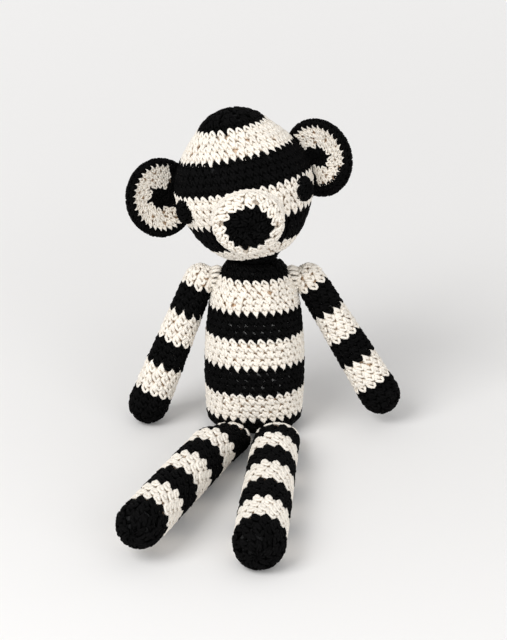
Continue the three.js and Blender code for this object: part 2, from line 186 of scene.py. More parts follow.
# Stuffing
FIBRE_LUMP = 0.9 * MM
FIBRE_LUMPS = 160  # per metre
FIBRE_CLEAR = 2.2 * MM  # least room between the fibre and a limb's skin
MUZZLE_FIBRE_CLEAR = 5.5 * MM

# Colours, as red, green, blue and alpha
# each yarn: its own colour on the ridges, then painted shade for the ply grooves and painted shade for the
# creases
CREAM_TONE_AND_SHADES = ((0.92, 0.875, 0.8, 1), (0.84, 0.75, 0.64, 1), (0.9, 0.73, 0.55, 1))
BLACK_TONE_AND_SHADES = ((0.004, 0.0039, 0.004, 1), (0.001, 0.001, 0.001, 1), (0.0008, 0.0008, 0.0008, 1))
# painted shade seen in the holes between cream stitches, two warm colours
CREAM_HOLE_SHADE_TONES = ((0.78, 0.46, 0.22, 1), (0.92, 0.68, 0.44, 1))
# paler painted hole shade, behind firmly worked cream
FIRM_HOLE_SHADE_TONE = (0.88, 0.78, 0.66, 1)
GAP_TONE = (0.006, 0.006, 0.0065, 1)
WISP_TONE = (0.5, 0.5, 0.49, 1)
FIBRE_TONES = ((0.72, 0.72, 0.7, 1), (0.9, 0.9, 0.88, 1))
FLOOR_TONE = (0.8, 0.79, 0.78, 1)
WHITE = (1, 1, 1, 1)

# Grain of the materials, in spots per metre
FUZZ_SCALE = 2600
BLOT_SCALE = 300
WISP_SCALE = 140
TANGLE_SCALE = 700

# Stage, with its lamps as (place, size, power)
FLOOR_HALF = 6
FLOOR_LIFT_NEAR = 0.05  # painted light: brightness added to the floor near the bear, as the camera sees it, kept low there as a painted shadow
FLOOR_LIFT_FAR = 0.31
FLOOR_NEAR = 0.1
FLOOR_FAR = 1.3
WORLD_LIGHT = 0.55
WORLD_LIFT = 0.4
LAMP_AIM = Vector((0, 0, 0.09))
LAMPS = {
    "window": (Vector((-1.1, -1.0, 1.5)), 1.2, 26),
    "fill": (Vector((1.0, -1.6, 0.6)), 1.5, 14),
}

# Camera
VIEW_PITCH = 26.0  # degrees below level from the camera to the bear
VIEW_TILT = 0.74  # degrees by which the camera aims above the bear's middle
VIEW_MIDDLE = Vector((-0.6, 7.8, 44.3)) * MM
VIEW_DISTANCE = 1.44
VIEW_LENS = 135.0

SIDES = {"right": -1, "left": 1}
joint = {entry["name"]: entry for entry in frame["joints"]}
nodes = frame["nodes"]


# Places


def framed(origin, along, across):
    """A frame with Z along a direction and X as near as can be to another."""
    z = Vector(along).normalized()
    y = z.cross(Vector(across)).normalized()
    x = y.cross(z)
    turn = Matrix((x, y, z)).transposed().to_4x4()
    return Matrix.Translation(origin) @ turn


def pivot_of(name):
    """The place of a joint."""
    return Vector(joint[name]["pos_m"])


sideways = Vector((1, 0, 0))
neck_pivot = pivot_of("neck_turn")
torso_frame = framed(Vector(), neck_pivot, sideways)
head_axis = Vector(joint["neck_turn"]["axis"])
head_across = Vector(joint["neck_nod"]["axis"])
head_frame = framed(neck_pivot + HEAD_ABOVE_PIVOT * head_axis, head_axis, head_across)
rounds_frame = head_frame @ Matrix.Rotation(HEAD_ROUNDS_TIP, 4, "X")


def on_head(x, y, z):
    """A direction in the head's own frame."""
    return head_frame.to_3x3() @ Vector((x, y, z))


def arm_frame(side):
    """An arm's frame: its pivot, with Z towards the far end of its node."""
    pivot = pivot_of(f"{side}_arm_swing")
    spots = (vert.co for vert in nodes[f"{side}_arm_shell"].data.vertices)
    tip = max(spots, key=lambda spot: (spot - pivot).length)
    return framed(pivot, tip - pivot, sideways)


def leg_frame(side):
    """A leg's frame: its pivot, with Z along the leg and Y up."""
    turn = math.radians(LEG_TURN[side])
    foot = FOOT_RADIUS[side]
    taper = math.asin((foot - LEG_RADIUS) / (LEG_LENGTH - foot))
    rise = taper + math.radians(LEG_LIFT[side])
    level = Vector((math.sin(turn), -math.cos(turn), 0))
    along = level * math.cos(rise) + Vector((0, 0, math.sin(rise)))
    return framed(pivot_of(f"{side}_leg_swing"), along, sideways)


# Skins that stitches are worked on

OUTLINE_STEPS = 200
OUTLINE_ANGLES = 24
OUTLINE_END = 1e-4  # of a node's length, kept off its two ends
FAR = 0.3
EASE_PASSES = 12


def node_outline(node, place, lips=(0.0, 0.0)):
    """(radius, height) of a node along its axis, with an inward lip of a radius at an open end."""
    mesh = nodes[node].data
    tree = BVHTree.FromPolygons([v.co for v in mesh.vertices], [p.vertices for p in mesh.polygons])
    inverse = place.inverted()
    heights = [(inverse @ v.co).z for v in mesh.vertices]
    low, high = min(heights), max(heights)
    outline = [(lips[0], low)]
    for step in range(OUTLINE_STEPS + 1):
        share = (1 - math.cos(math.pi * step / OUTLINE_STEPS)) / 2
        height = low + (high - low) * min(max(share, OUTLINE_END), 1 - OUTLINE_END)
        widest = 0.0
        for at in range(OUTLINE_ANGLES):
            angle = 2 * math.pi * at / OUTLINE_ANGLES
            side = Vector((math.cos(angle), math.sin(angle), 0))
            start = place @ (side * FAR + Vector((0, 0, height)))
            hit = tree.ray_cast(start, place.to_3x3() @ -side)
            if hit[0] is not None:
                widest = max(widest, FAR - hit[3])
        outline.append((widest, height))
    return [*outline, (lips[1], high)]


def ellipse(middle, wide, tall, first, last, steps=24):
    """(radius, height) points of an arc between two angles, in degrees from its axis's lower end."""
    angles = [math.radians(first + (last - first) * at / steps) for at in range(steps + 1)]
    return [(wide * math.sin(angle), middle - tall * math.cos(angle)) for angle in angles]


def leg_outline(side):
    """A tube with round ends that widens or narrows to the foot."""
    foot = FOOT_RADIUS[side]
    hip_end = ellipse(0, LEG_RADIUS, LEG_RADIUS, 0, 90)
    return hip_end + ellipse(LEG_LENGTH - foot, foot, foot, 90, 180)


def ear_outline(steps=16):
    """A cupped disc's outline from the middle of its back, round its rim, to the middle of its front."""
    half = EAR_THICK / 2
    radii = [EAR_FLAT * at / steps for at in range(steps + 1)]
    dish = [EAR_DISH * (radius / EAR_FLAT) ** 2 for radius in radii]
    back = [(radius, rise - half) for radius, rise in zip(radii, dish)]
    front = [(radius, rise + half) for radius, rise in zip(radii, dish)]
    rim = [(EAR_FLAT + out, rise) for out, rise in ellipse(EAR_DISH, half, half, 0, 180)]
    return back + rim + front[::-1]


def eased(share):
    """A share from 0 to 1 with a soft start and end."""
    return share**2 * (3 - 2 * share)


def pressed_hip(local):
    """Presses a leg flat at its hip, down on its underside, with the flat end's middle at the pivot."""
    ease = eased(np.clip(local[:, 2] / HIP_TAPER, 0, 1))
    keep = ease + (1 - ease) * HIP_TALL / (2 * LEG_RADIUS)
    local[:, 1] = (local[:, 1] + LEG_RADIUS) * keep - HIP_TALL / 2
    return local


def pressed_muzzle(local):
    """Presses the muzzle's rim a little flat, and leaves its tip round."""
    local[:, 1] *= 1 - MUZZLE_PRESS * np.clip(-local[:, 2] / MUZZLE_RIM, 0, 1)
    return local


def full_chin(local):
    """Lets the head down a little in front, below the muzzle."""
    low = np.clip((CHIN_FROM - local[:, 2]) / CHIN_SPAN, 0, 1)
    front = np.clip((CHIN_BACK - local[:, 1]) / CHIN_DEPTH, 0, 1)
    local[:, 2] -= CHIN_DROP * eased(low) * front
    return local


def unpressed(local):
    """Leaves a skin as its outline gives it."""
    return local


class Skin:
    """A surface of revolution about its frame's Z that rounds of stitches are worked on.

    A place on it is a turn from 0 to 1, a run along the outline from its first end, and a height off it.
    """

    def __init__(self, place, outline, sink=SINK, shaped=unpressed):
        self.place = place
        self.shaped = shaped
        radius, height = np.array(outline).T
        run = np.concatenate([[0], np.cumsum(np.hypot(np.diff(radius), np.diff(height)))])
        self.length = run[-1]
        self.run = np.linspace(0, self.length, OUTLINE_STEPS + 1)
        radius = np.interp(self.run, run, radius)
        height = np.interp(self.run, run, height)
        for _ in range(EASE_PASSES):
            radius[1:-1] = (radius[:-2] + 2 * radius[1:-1] + radius[2:]) / 4
            height[1:-1] = (height[:-2] + 2 * height[1:-1] + height[2:]) / 4
        out, up = np.gradient(height), -np.gradient(radius)
        size = np.hypot(out, up)
        self.out, self.up = out / size, up / size
        self.radius = np.maximum(radius - sink * self.out, 0)
        self.height = height - sink * self.up

    def run_at(self, height):
        """The run to a height along the axis."""
        return float(np.interp(height, self.height, self.run))

    def run_in_to(self, radius):
        """The run to where the skin last has a radius before its second end."""
        return float(self.run[np.nonzero(self.radius >= radius)[0][-1]])

    def radius_at(self, run):
        """The radius at a run."""
        return float(np.interp(run, self.run, self.radius))

    def radius_up(self, height):
        """The radius at a height along the axis."""
        return float(np.interp(height, self.height, self.radius))

    def points(self, turn, run, off):
        """Places on the skin as an array of points."""
        radius, height, out, up = (
            np.interp(run, self.run, values) for values in (self.radius, self.height, self.out, self.up)
        )
        angle = 2 * math.pi * turn
        reach = np.maximum(radius + off * out, 0)
        local = np.stack([reach * np.cos(angle), reach * np.sin(angle), height + off * up], axis=1)
        local = self.shaped(local)
        matrix = np.array(self.place)
        return local @ matrix[:3, :3].T + matrix[:3, 3]

    def point(self, turn, run, off=0.0):
        """One place on the skin as a point."""
        return Vector(self.points(np.array([turn]), np.array([run]), np.array([off]))[0])

    def holds(self, point):
        """Whether a point lies inside the skin, before it is pressed."""
        local = self.place.inverted() @ point
        if not self.height.min() < local.z < self.height.max():
            return False
        return math.hypot(local.x, local.y) < self.radius_up(local.z)

    def drawn_in(self, point, clear):
        """A point, moved in where it lies less than a distance inside the skin."""
        local = self.place.inverted() @ point
        local.z = min(max(local.z, self.height.min() + clear), self.height.max() - clear)
        room = max(self.radius_up(local.z) - clear, 0)
        reach = math.hypot(local.x, local.y)
        if reach > room:
            local.xy *= room / reach
        return self.place @ local


# Meshes


def add_object(name, data):
    """A new object in the scene."""
    made = bpy.data.objects.new(name, data)
    bpy.context.scene.collection.objects.link(made)
    return made


def take_up(bm, mesh):
    """Moves a mesh into a bmesh."""
    bm.from_mesh(mesh)
    bpy.data.meshes.remove(mesh)


def finished(bm, name):
    """A bmesh as a new smooth mesh."""
    for face in bm.faces:
        face.smooth = True
    mesh = bpy.data.meshes.new(name)
    bm.to_mesh(mesh)
    bm.free()
    return mesh


def closed_up(bm):
    """Joins a bmesh's strands at their seams and turns their faces outwards."""
    bmesh.ops.remove_doubles(bm, verts=bm.verts, dist=MERGE)
    bmesh.ops.recalc_face_normals(bm, faces=bm.faces)


def strand(points, thick, closed=False):
    """A strand of yarn through (x, y, z, share of its thickness) points, in millimetres, as a mesh."""
    curve = bpy.data.curves.new("strand", "CURVE")
    curve.dimensions = "3D"
    curve.bevel_depth = thick
    curve.bevel_resolution = YARN_ROUNDNESS
    curve.use_fill_caps = not closed
    spline = curve.splines.new("POLY")
    spline.points.add(len(points) - 1)
    spline.use_cyclic_u = closed
    for knot, (x, y, z, share) in zip(spline.points, points):
        knot.co = (x * MM, y * MM, z * MM, 1)
        knot.radius = share
    thread = add_object("strand", curve)
    laid = thread.evaluated_get(bpy.context.evaluated_depsgraph_get())
    made = bpy.data.meshes.new_from_object(laid)
    bpy.data.objects.remove(thread)
    bpy.data.curves.remove(curve)
    return made


def even_strand(places, thick):
    """A strand of one thickness through places in metres."""
    return strand([(*(place / MM), 1.0) for place in places], thick)


# Stitches

# A single crochet stitch, flat: (right, up, out, share of the yarn's thickness) points, in millimetres
# from the foot of its V. Its loop lies over the feet of the next round's stitches, and its back fills
# the eye of a loop in the round before it.
STITCH_LEFT_LEG = (
    (-0.2, -1.0, 0.8, 0.9),
    (-1.2, 0.9, 0.95, 1.05),
    (-1.9, 2.2, 0.1, 0.9),
)
STITCH_RIGHT_LEG = (
    (0.4, -1.0, 0.8, 0.9),
    (0.5, 0.9, 0.95, 1.05),
    (0.55, 2.2, 0.1, 0.9),
)
STITCH_BACK = (
    (0.2, -1.5, -0.1, 0.85),
    (4.6, -1.35, -0.05, 0.85),
)
STITCH_LOOP = (
    (-2.75, 1.5, 0.0, 0.9),
    (-2.85, 2.6, 1.25, 1.05),
    (-2.6, 3.75, 1.35, 1.0),
    (-1.8, 4.3, 1.2, 0.9),
    (-0.75, 3.5, 1.35, 1.0),
    (0.3, 2.5, 1.2, 1.05),
    (1.3, 1.75, 0.2, 0.9),
)
CREASE_SHADE_TOP = 0.9 * MM  # out from the skin, where a strand begins to take the painted shade of the creases
# the painted shade of the creases is full at this height off the skin and below
CREASE_SHADE_FLOOR = -0.6 * MM


def single_crochet(foot, backed):
    """One stitch, flat: a V with a foot this long, the loop on its top and the yarn behind its foot."""
    bm = bmesh.new()
    bm.verts.layers.float.new("shade")
    crease_shade = bm.verts.layers.float.new("crease_shade")
    left_foot = (0.2, -foot, 0.15, 0.5)
    right_foot = (0.3, -foot, 0.15, 0.5)
    strands = [(left_foot, *STITCH_LEFT_LEG), (right_foot, *STITCH_RIGHT_LEG)]
    if backed:
        strands.append(STITCH_BACK)
    for points in strands:
        take_up(bm, strand(points, LEG_YARN))
    take_up(bm, strand(STITCH_LOOP, LOOP_YARN))
    closed_up(bm)
    # painted shade: the deeper a point of a strand lies, the more it takes the colour of the creases' shade
    for vert in bm.verts:
        deep = (CREASE_SHADE_TOP - vert.co.z) / (CREASE_SHADE_TOP - CREASE_SHADE_FLOOR)
        vert[crease_shade] = min(1.0, max(0.0, deep))
    return finished(bm, "single_crochet")


def work_stitch(bm, stitch, move, shade):
    """Adds one stitch to a flat fabric."""
    patch = stitch.copy()
    patch.transform(move)
    patch.attributes["shade"].data.foreach_set("value", [shade] * len(patch.vertices))
    take_up(bm, patch)


def wrapped(bm, skin, name):
    """Lays a flat fabric of (turn, run, height) on a skin, pressed flat where it meets the floor."""
    mesh = finished(bm, name)
    flat = np.zeros(len(mesh.vertices) * 3, np.float32)
    mesh.vertices.foreach_get("co", flat)
    turn, run, off = flat.reshape(-1, 3).T
    points = skin.points(turn, run, off)
    points[:, 2] = np.maximum(points[:, 2], 0)
    mesh.vertices.foreach_set("co", points.astype(np.float32).ravel())
    mesh.update()
    return mesh


def flat_fabric():
    """An empty flat fabric, with a random tone and a painted shade of the creases for each point and a map
    along each strand.
    """
    bm = bmesh.new()
    bm.verts.layers.float.new("shade")
    bm.verts.layers.float.new("crease_shade")
    bm.loops.layers.uv.new("UVMap")
    return bm


def striped_bands(skin, heights, first):
    """(yarn, first run, last run) for each stripe of a skin from one end to the other."""
    other = {"cream": "black", "black": "cream"}[first]
    edges = [0.0, *(skin.run_at(height * MM) for height in heights), skin.length]
    return [(other if at % 2 else first, *edges[at : at + 2]) for at in range(len(edges) - 1)]


def plain(yarn, turn, radius):
    """Works each stitch in its band's own yarn."""
    return yarn


def nowhere(point):
    """Leaves no stitch out."""
    return False


def nearest_gap(turn, parents, drift):
    """How far on round the nearest of the last round's stitches is, each slipped by a drift."""
    gaps = ((parent + drift - turn + 0.5) % 1 - 0.5 for parent in parents)
    return min(gaps, key=abs)


def stitch_places(skin, bands, chance, gauge):
    """Each stitch of a skin, round by round.

    A stitch is its yarn, whether the round before it is of that yarn too, its turn, its run, and the
    number of stitches in its round and that round's height.
    """
    stitch, height, _ = gauge
    drifted = 0.0
    count = 0
    parents = []
    for yarn, start, end in bands:
        rounds = max(1, round((end - start) / height))
        tall = (end - start) / rounds
        for at in range(rounds):
            foot = start + at * tall
            around = 2 * math.pi * skin.radius_at(foot + tall / 2)
            wanted = max(FEWEST_STITCHES, around / stitch)
            if not parents or at and abs(wanted - count) > STEADY * count:
                count = round(wanted)
            drifted += DRIFT / count
            turns = [drifted + place / count for place in range(count)]
            for turn in turns:
                gap = nearest_gap(turn, parents or turns, DRIFT / count if parents else 0)
                drawn = turn + max(-HOLD / count, min(HOLD / count, gap))
                strayed = drawn + chance.gauss(0, STRAY) / count
                yield yarn, at > 0, strayed, foot + chance.gauss(0, STRAY) * tall, count, tall
            parents = turns


def work_rounds(name, skin, bands, wanted, leave_out, dyed, gauge):
    """The stitches of one yarn in a skin's bands, as a flat fabric."""
    bm = flat_fabric()
    chance = random.Random(name)
    shapes = {backed: single_crochet(gauge[2] / MM, backed) for backed in (False, True)}
    for yarn, backed, turn, run, count, tall in stitch_places(skin, bands, chance, gauge):
        shade = chance.random()
        plump = gauge[0] / STITCH * chance.uniform(*PLUMP)
        middle = run + tall / 2
        if dyed(yarn, turn, skin.radius_at(middle)) != wanted or leave_out(skin.point(turn, middle)):
            continue
        size = Matrix.Diagonal((1 / (count * STITCH), tall / ROUND, plump, 1))
        work_stitch(bm, shapes[backed], Matrix.Translation((turn, run, 0)) @ size, shade)
    for shape in shapes.values():
        bpy.data.meshes.remove(shape)
    return bm


# Materials


def new_group(name, inputs, outputs):
    """An empty shader node group with named sockets, and its two end nodes."""
    group = bpy.data.node_groups.new(name, "ShaderNodeTree")
    for label, kind, value in inputs:
        socket = group.interface.new_socket(label, in_out="INPUT", socket_type=kind)
        socket.default_value = value
    for label, kind in outputs:
        group.interface.new_socket(label, in_out="OUTPUT", socket_type=kind)
    return group, group.nodes.new("NodeGroupInput"), group.nodes.new("NodeGroupOutput")


def feed(tree, made, inputs):
    """Links each given input of a node to an output, or sets it to a plain value."""
    for label, value in inputs.items():
        if isinstance(value, bpy.types.NodeSocket):
            tree.links.new(value, made.inputs[label])
        else:
            made.inputs[label].default_value = value


def node_of(tree, kind, inputs=None, **settings):
    """A new node with its settings and inputs."""
    made = tree.nodes.new(kind)
    for key, value in settings.items():
        setattr(made, key, value)
    feed(tree, made, inputs or {})
    return made


def maths(tree, operation, *values):
    """A Math node over values and outputs, as its output."""
    made = node_of(tree, "ShaderNodeMath", dict(enumerate(values)), operation=operation)
    return made.outputs[0]


def mixed(tree, share, first, second):
    """A colour between two, as an output."""
    made = node_of(tree, "ShaderNodeMix", data_type="RGBA")
    place = {socket.identifier: at for at, socket in enumerate(made.inputs)}
    feed(tree, made, {place["Factor_Float"]: share, place["A_Color"]: first, place["B_Color"]: second})
    return next(socket for socket in made.outputs if socket.identifier == "Result_Color")


def speckle(tree, scale, detail=2):
    """Noise over a piece's own coordinates, as an output."""
    spot = node_of(tree, "ShaderNodeTexCoord").outputs["Object"]
    grain = {"Vector": spot, "Scale": scale, "Detail": detail}
    return node_of(tree, "ShaderNodeTexNoise", grain).outputs["Fac"]


def layer(tree, name):
    """A value that a mesh holds for each of its points, as an output."""
    return node_of(tree, "ShaderNodeAttribute", attribute_name=name).outputs["Fac"]


def yarn_group():
    """Plied yarn: plies that wind along each strand's map, with painted shade in the grooves between them
    and in the creases, loose fibres and a random tone for each stitch.
    """
    group, start, end = new_group(
        "plied_yarn",
        [
            ("Ridge Colour", "NodeSocketColor", WHITE),
            ("Groove Shade Colour", "NodeSocketColor", GAP_TONE),
            ("Crease Shade Colour", "NodeSocketColor", GAP_TONE),
            ("Plies", "NodeSocketFloat", 3.0),
            ("Twist", "NodeSocketFloat", 3.0),
            ("Shade Range", "NodeSocketFloat", 0.2),
        ],
        [("Colour", "NodeSocketColor"), ("Height", "NodeSocketFloat"), ("Roughness", "NodeSocketFloat")],
    )
    given = start.outputs
    along_map = node_of(group, "ShaderNodeTexCoord").outputs["UV"]
    apart = node_of(group, "ShaderNodeSeparateXYZ", {"Vector": along_map}).outputs
    around = maths(group, "MULTIPLY", apart["Y"], given["Plies"])
    along = maths(group, "MULTIPLY", apart["X"], given["Twist"])
    phase = maths(group, "FRACT", maths(group, "ADD", around, along))
    centred = maths(group, "MULTIPLY_ADD", phase, 2.0, -1.0)
    ply = maths(group, "SUBTRACT", 1.0, maths(group, "MULTIPLY", centred, centred))
    fuzz = speckle(group, FUZZ_SCALE, 3)
    bright = maths(group, "MULTIPLY_ADD", layer(group, "shade"), given["Shade Range"], 1.0)
    dim = maths(group, "MULTIPLY", given["Shade Range"], 0.5)
    level = maths(group, "SUBTRACT", bright, dim)
    lit = maths(group, "POWER", ply, 0.5)
    # painted shade: the grooves between the plies are darker than their ridges
    colour = mixed(group, lit, given["Groove Shade Colour"], given["Ridge Colour"])
    # painted shade in the creases, deep in the fabric
    crease_shaded = mixed(group, layer(group, "crease_shade"), colour, given["Crease Shade Colour"])
    tone = {"Vector": crease_shaded, "Scale": level}
    shaded = node_of(group, "ShaderNodeVectorMath", tone, operation="SCALE")
    height = maths(group, "MULTIPLY_ADD", fuzz, 0.35, ply)
    rough = maths(group, "MULTIPLY_ADD", fuzz, 0.2, 0.75)
    feed(group, end, {"Colour": shaded.outputs[0], "Height": height, "Roughness": rough})
    return group


def new_material(name):
    """A new material, its node tree and its shader."""
    material = bpy.data.materials.new(name)
    material.use_nodes = True
    tree = material.node_tree
    return material, tree, tree.nodes["Principled BSDF"]


def bumped(tree, height, distance, strength):
    """A normal raised by a height, as an output."""
    relief = {"Height": height, "Distance": distance, "Strength": strength}
    return node_of(tree, "ShaderNodeBump", relief).outputs["Normal"]


plied_yarn = yarn_group()


def yarn_material(name, tone_and_shades, shade_range, sheen):
    """Cotton yarn, by the colour of its ridges and the painted shade of its grooves and its creases."""
    material, tree, shader = new_material(name)
    dyes = dict(zip(("Ridge Colour", "Groove Shade Colour", "Crease Shade Colour"), tone_and_shades))
    dyes["Shade Range"] = shade_range
    yarn = node_of(tree, "ShaderNodeGroup", dyes, node_tree=plied_yarn).outputs
    finish = {
        "Base Color": yarn["Colour"],
        "Roughness": yarn["Roughness"],
        "Normal": bumped(tree, yarn["Height"], 0.22 * MM, 0.7),
        "Sheen Weight": sheen,
        "Sheen Roughness": 0.5,
        "Specular IOR Level": 0.03,
    }
    feed(tree, shader, finish)
    return material


def backing_material():
    """The back of the stitches, seen through their holes: a painted warm shade behind cream, black behind
    black.

    Where a bag is stretched, bits of its pale filling show in the black. Behind firmly worked cream the
    painted shade is paler.
    """
    material, tree, shader = new_material("stitch_backs_and_hole_shade")
    blots = speckle(tree, BLOT_SCALE)
    cream_hole_shade = mixed(tree, blots, *CREAM_HOLE_SHADE_TONES)
    spread = {"Value": speckle(tree, WISP_SCALE), "From Min": 0.36, "From Max": 0.6}
    wisp = node_of(tree, "ShaderNodeMapRange", spread, interpolation_type="SMOOTHSTEP")
    shown = maths(tree, "MULTIPLY", wisp.outputs["Result"], layer(tree, "fibre"))
    dark = mixed(tree, shown, GAP_TONE, WISP_TONE)
    # painted hole shade behind cream, paler where the cream is worked firmly
    shade_behind_cream = mixed(tree, layer(tree, "firm"), cream_hole_shade, FIRM_HOLE_SHADE_TONE)
    finish = {
        "Base Color": mixed(tree, layer(tree, "black_vs_cream_shade"), shade_behind_cream, dark),
        "Roughness": 0.95,
        "Normal": bumped(tree, blots, 0.5 * MM, 0.6),
    }
    feed(tree, shader, finish)
    return material


def fibrefill_material():
    """White polyester stuffing, a tangle of fine fibre."""
    material, tree, shader = new_material("polyester_fibre")
    tangle = speckle(tree, TANGLE_SCALE, 6)
    finish = {
        "Base Color": mixed(tree, tangle, *FIBRE_TONES),
        "Roughness": 0.9,
        "Normal": bumped(tree, tangle, 0.8 * MM, 0.8),
        "Sheen Weight": 0.3,
    }
    feed(tree, shader, finish)
    return material


YARN_FINISH = {
    "cream": yarn_material("cream_cotton", CREAM_TONE_AND_SHADES, shade_range=0.1, sheen=0.12),
    "black": yarn_material("black_cotton", BLACK_TONE_AND_SHADES, shade_range=0.5, sheen=0.0),
}
# the backing's material, painted with hole shade behind cream
stitch_backs_and_hole_shade = backing_material()
polyester_fibre = fibrefill_material()


# Pieces


def piece(name, mesh, body, material):
    """A new piece that moves with a body and wears the given material."""
    made = add_object(name, mesh)
    mesh.materials.clear()
    mesh.materials.append(material)
    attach(made, body)
    return made


def backing(name, body, skin, bands, dyed, filling, firmness):
    """The plain closed layer behind a skin's stitches, carrying painted hole shade behind cream, with a
    share of its filling that shows through.
    """
    bm = bmesh.new()
    half = Matrix.Diagonal((0.5, skin.length / 2, 1, 1))
    middle = Matrix.Translation((0.5, skin.length / 2, BACKING))
    bmesh.ops.create_grid(
        bm, x_segments=BACKING_TURN_STEPS, y_segments=BACKING_RUN_STEPS, size=1, matrix=middle @ half
    )
    black_vs_cream_shade = bm.verts.layers.float.new("black_vs_cream_shade")
    fibre = bm.verts.layers.float.new("fibre")
    firm = bm.verts.layers.float.new("firm")
    # painted shade: the backing behind cream stripes takes the warm hole shade, elsewhere black
    creams = [(start + CREAM_SHADE_FROM, end - CREAM_SHADE_TO) for yarn, start, end in bands if yarn == "cream"]
    for vert in bm.verts:
        turn, run = vert.co.x, vert.co.y
        inside = any(start < run < end for start, end in creams)
        cream_hole_shade = inside and dyed("cream", turn, skin.radius_at(run)) == "cream"
        vert[black_vs_cream_shade] = 0.0 if cream_hole_shade else 1.0
        stretched = STRETCHED_FROM < run / skin.length < STRETCHED_TO
        vert[fibre] = filling if stretched else 0.0
        vert[firm] = firmness
    mesh = wrapped(bm, skin, name)
    bm = bmesh.new()
    bm.from_mesh(mesh)
    bmesh.ops.remove_doubles(bm, verts=bm.verts, dist=BACKING_MERGE)
    bm.to_mesh(mesh)
    bm.free()
    return piece(name, mesh, body, stitch_backs_and_hole_shade)


def crochet(
    name,
    body,
    node,
    skin,
    bands,
    gauge=BODY_GAUGE,
    leave_out=nowhere,
    dyed=plain,
    filling=0.0,
    firmness=0.3,
):
    """A crocheted bag: its stitches in each yarn and the layer behind them."""
    for yarn in ("cream", "black"):
        if any(colour == yarn for colour, _, _ in bands):
            fabric = work_rounds(name, skin, bands, yarn, leave_out, dyed, gauge)
            stitches = wrapped(fabric, skin, f"{name}_{yarn}_stitches")
            made = piece(stitches.name, stitches, body, YARN_FINISH[yarn])
            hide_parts(node)
    bag = backing(f"{name}_backing", body, skin, bands, dyed, filling, firmness)
    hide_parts(node)


def yarn_piece(name, strands, body, node, yarn):
    """Strands of one yarn as one piece, which stands for a node if one is named."""
    bm = bmesh.new()
    bm.loops.layers.uv.new("UVMap")
    for made in strands:
        take_up(bm, made)
    closed_up(bm)
    made = piece(name, finished(bm, name), body, YARN_FINISH[yarn])
    if node:
        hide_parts(node)


def knot(name, body, node, middle, yarn):
    """A tied knot of sewing yarn inside the bear."""
    size = (KNOT_RADIUS - KNOT_YARN) / KNOT_REACH
    places = []
    for at in range(KNOT_STEPS + 1):
        way = KNOT_GAP + (2 * math.pi - 2 * KNOT_GAP) * at / KNOT_STEPS
        x = math.sin(way) + 2 * math.sin(2 * way)
        y = math.cos(way) - 2 * math.cos(2 * way)
        places.append(middle + Vector((x, y, -math.sin(3 * way))) * size)
    yarn_piece(name, [even_strand(places, KNOT_YARN)], body, node, yarn)


def stuffing(node, body, bag=None, clear=FIBRE_CLEAR):
    """A lumpy wad of polyester fibre in the place of a plain one, kept inside a bag if one is given."""
    bm = bmesh.new()
    bm.from_mesh(nodes[node].data)
    bmesh.ops.remove_doubles(bm, verts=bm.verts, dist=MERGE)
    bmesh.ops.triangulate(bm, faces=bm.faces)
    bmesh.ops.subdivide_edges(bm, edges=bm.edges, cuts=1, use_grid_fill=True)
    bm.normal_update()
    for vert in bm.verts:
        lump = 0.5 + 0.5 * noise.noise(vert.co * FIBRE_LUMPS)
        vert.co -= vert.normal * FIBRE_LUMP * lump
        if bag:
            vert.co = bag.drawn_in(vert.co, clear)
    mesh = finished(bm, node.replace("stuffing", "fibrefill"))
    wad = piece(mesh.name, mesh, body, polyester_fibre)
    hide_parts(node)


# Torso and neck
torso_skin = Skin(torso_frame, node_outline("torso_shell", torso_frame, (0.0, NECK_LIP)))
torso_bands = striped_bands(torso_skin, TORSO_STRIPES, "black")
crochet("torso", "torso", "torso_shell", torso_skin, torso_bands, filling=1.0)
stuffing("torso_stuffing", "torso")

neck_frame = framed(neck_pivot, head_axis, head_across)
neck_skin = Skin(neck_frame, ellipse(0, NECK_BALL_RADIUS, NECK_BALL_RADIUS, 0, 180), NECK_SINK)
crochet("neck", "neck", "neck_ball", neck_skin, [("black", 0.0, neck_skin.length)])
knot("neck_sewing_knot", "neck_tie", "neck_knot", neck_pivot, "black")

# Head
head_surface = Skin(head_frame, node_outline("head_shell", head_frame, (CHIN_LIP, 0.0)), 0)
head_outline = node_outline("head_shell", rounds_frame, (CHIN_LIP, 0.0))
head_skin = Skin(rounds_frame, head_outline, shaped=full_chin)
head_bands = striped_bands(head_skin, HEAD_STRIPES, "cream")
crochet("head", "head", "head_shell", head_skin, head_bands, HEAD_GAUGE, firmness=0.5)
stuffing("head_stuffing", "head")


# Seams between the head and what is sewn to it


def meeting(skin, turn, first, last, steps=60):
    """Where a skin's outline at a turn first goes into the head, as its run, or None."""
    for at in range(steps + 1):
        run = first + (last - first) * at / steps
        if head_surface.holds(skin.point(turn, run, SINK)):
            return run
    return None


def sewn(spot, first_way, second_way, along):
    """One slanted sewing stitch over a corner, from one fabric to the other."""
    lift = (first_way + second_way).normalized()
    ends = [
        spot + first_way * SEWING_REACH - along * SEWING_SLANT - lift * SEWING_REACH / 2,
        spot + first_way * SEWING_REACH / 2 - along * SEWING_SLANT / 2 + lift * SEWING_REACH / 4,
        spot + second_way * SEWING_REACH / 2 + along * SEWING_SLANT / 2 + lift * SEWING_REACH / 4,
        spot + second_way * SEWING_REACH + along * SEWING_SLANT - lift * SEWING_REACH / 2,
    ]
    return even_strand(ends, SEWING_YARN)


